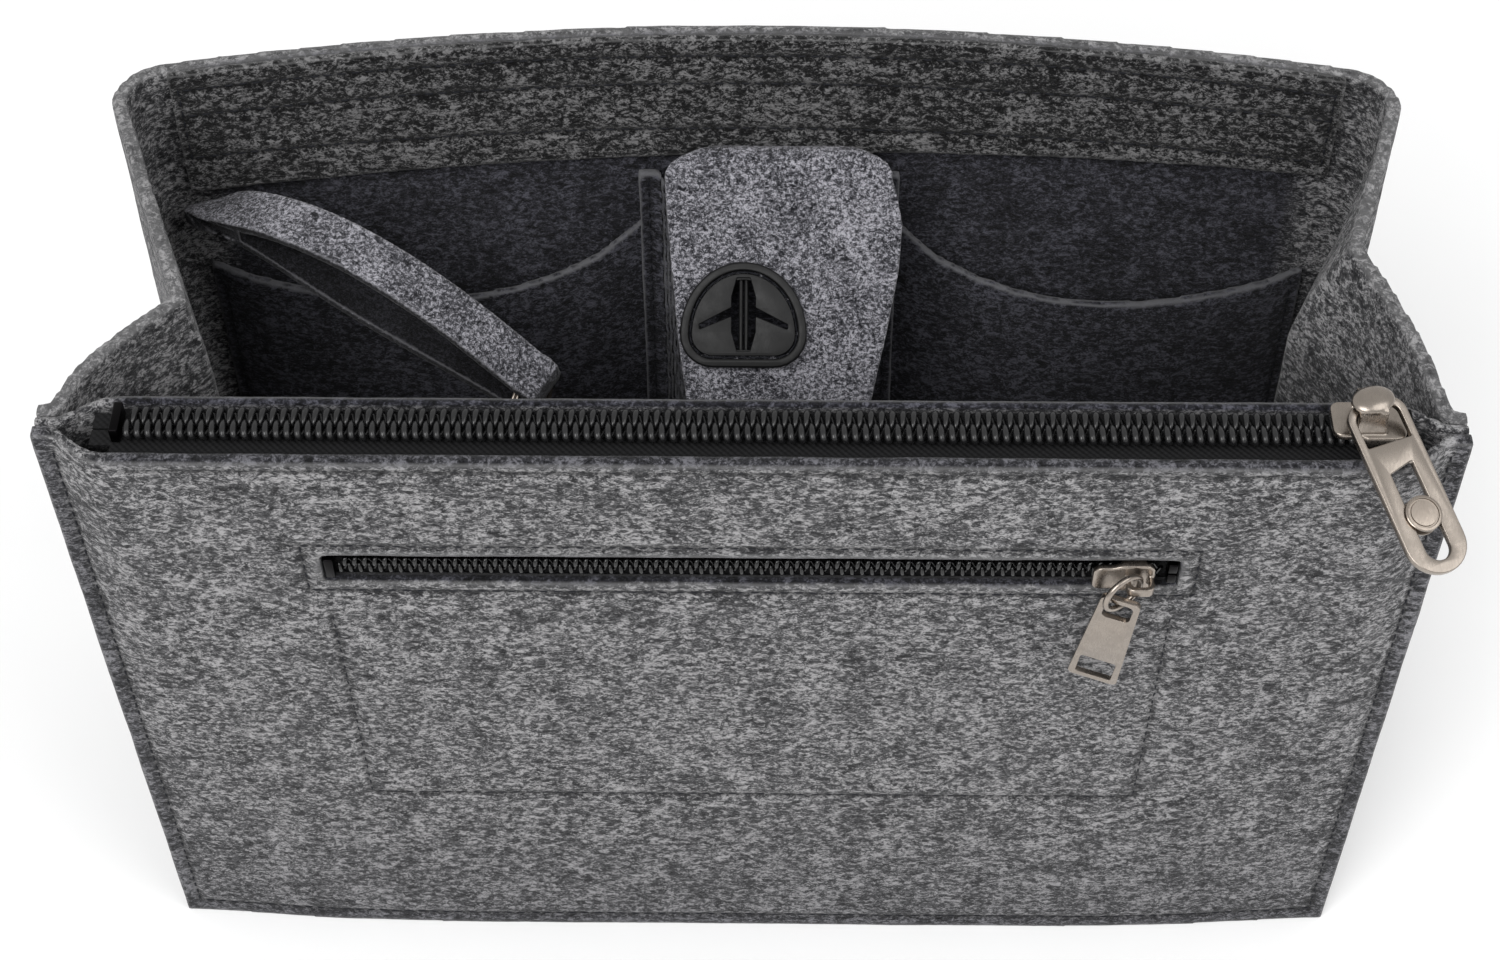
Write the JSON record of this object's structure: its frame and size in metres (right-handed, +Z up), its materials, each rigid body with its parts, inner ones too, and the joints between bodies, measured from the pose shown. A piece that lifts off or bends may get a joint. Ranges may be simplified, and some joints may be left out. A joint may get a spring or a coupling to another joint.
{
  "type": "purse organizer insert",
  "caption": "Grey felt handbag organizer: open tote with a zipped front compartment, zipped front pocket, slip pockets, phone pocket with a cable flap, and a key strap",
  "frame": {"origin": "centre of the underside of the base, on the surface it stands on", "axes": "+Z up, -Y the front with the small zip, +X to the right seen from the front"},
  "size_m": [0.2802, 0.1495, 0.1923],
  "materials": {
    "felt_light": "heathered grey felt",
    "felt_dark": "charcoal felt",
    "zip_cloth": "black woven tape and lining",
    "coil_plastic": "black nylon coil",
    "gunmetal": "warm gunmetal plating",
    "steel": "bright nickel",
    "rubber": "matt black rubber"
  },
  "bodies": {
    "shell": {"front_panel": "felt_light", "divider_panel": "felt_light", "body_panel": "felt_light", "base_panel": "felt_light", "rear_band": "felt_light", "slip_pocket_panel": "felt_dark", "phone_pocket": "felt_dark", "phone_flap_root": "felt_light", "front_pocket_bag": "zip_cloth", "main_tape_front": "zip_cloth", "main_tape_rear": "zip_cloth", "small_tape_upper": "zip_cloth", "small_tape_lower": "zip_cloth", "main_coil_front": "coil_plastic", "main_coil_rear": "coil_plastic", "small_coil_upper": "coil_plastic", "small_coil_lower": "coil_plastic", "main_stop_bottom": "gunmetal", "main_stop_front": "gunmetal", "main_stop_rear": "gunmetal", "small_stop_bottom": "gunmetal", "small_stop_upper": "gunmetal", "small_stop_lower": "gunmetal"},
    "phone_flap": {"phone_flap": "felt_light", "cable_port": "rubber"},
    "key_strap": {"key_strap": "felt_light"},
    "key_ring": {"key_ring": "gunmetal"},
    "main_slider": {"main_slider": "gunmetal", "main_slider_plate": "gunmetal"},
    "main_pull": {"main_pull": "gunmetal", "pull_stud": "steel"},
    "small_slider": {"small_slider": "gunmetal", "small_slider_plate": "gunmetal"},
    "small_link": {"small_link": "gunmetal"},
    "small_pull_tab": {"small_pull_tab": "gunmetal"}
  },
  "joints": [
    {"name": "main_slider_travel", "type": "slide", "parent": "shell", "child": "main_slider", "axis": [-1, 0, 0], "range_m": [0, 0.234]},
    {"name": "main_pull_swing", "type": "hinge", "parent": "main_slider", "child": "main_pull", "pos_m": [0.1193, -0.04685, 0.1896], "axis": [-0.9272, -0.3746, 0], "range_deg": [0, 212]},
    {"name": "small_slider_travel", "type": "slide", "parent": "shell", "child": "small_slider", "axis": [-1, 0, 0], "range_m": [0, 0.153]},
    {"name": "small_link_turn", "type": "hinge", "parent": "small_slider", "child": "small_link", "pos_m": [0.0787, -0.05801, 0.14691], "axis": [0, -0.0352, 0.9994], "range_deg": [0, 100]},
    {"name": "small_tab_swing", "type": "hinge", "parent": "small_link", "child": "small_pull_tab", "pos_m": [0.07483, -0.06048, 0.14303], "axis": [-0.956, 0.2703, 0.1141], "range_deg": [0, 28]},
    {"name": "phone_flap_lift", "type": "hinge", "parent": "shell", "child": "phone_flap", "pos_m": [0, 0.05014, 0.155], "axis": [-1, 0, 0], "range_deg": [-3, 95]},
    {"name": "key_strap_lift", "type": "hinge", "parent": "shell", "child": "key_strap", "pos_m": [-0.125, 0.05146, 0.142], "axis": [-1, 0, 0], "range_deg": [-40, 15]},
    {"name": "key_ring_swing", "type": "hinge", "parent": "key_strap", "child": "key_ring", "pos_m": [-0.05033, 0.00696, 0.1353], "axis": [0.4384, 0.8988, 0], "range_deg": [-40, 40]}
  ]
}
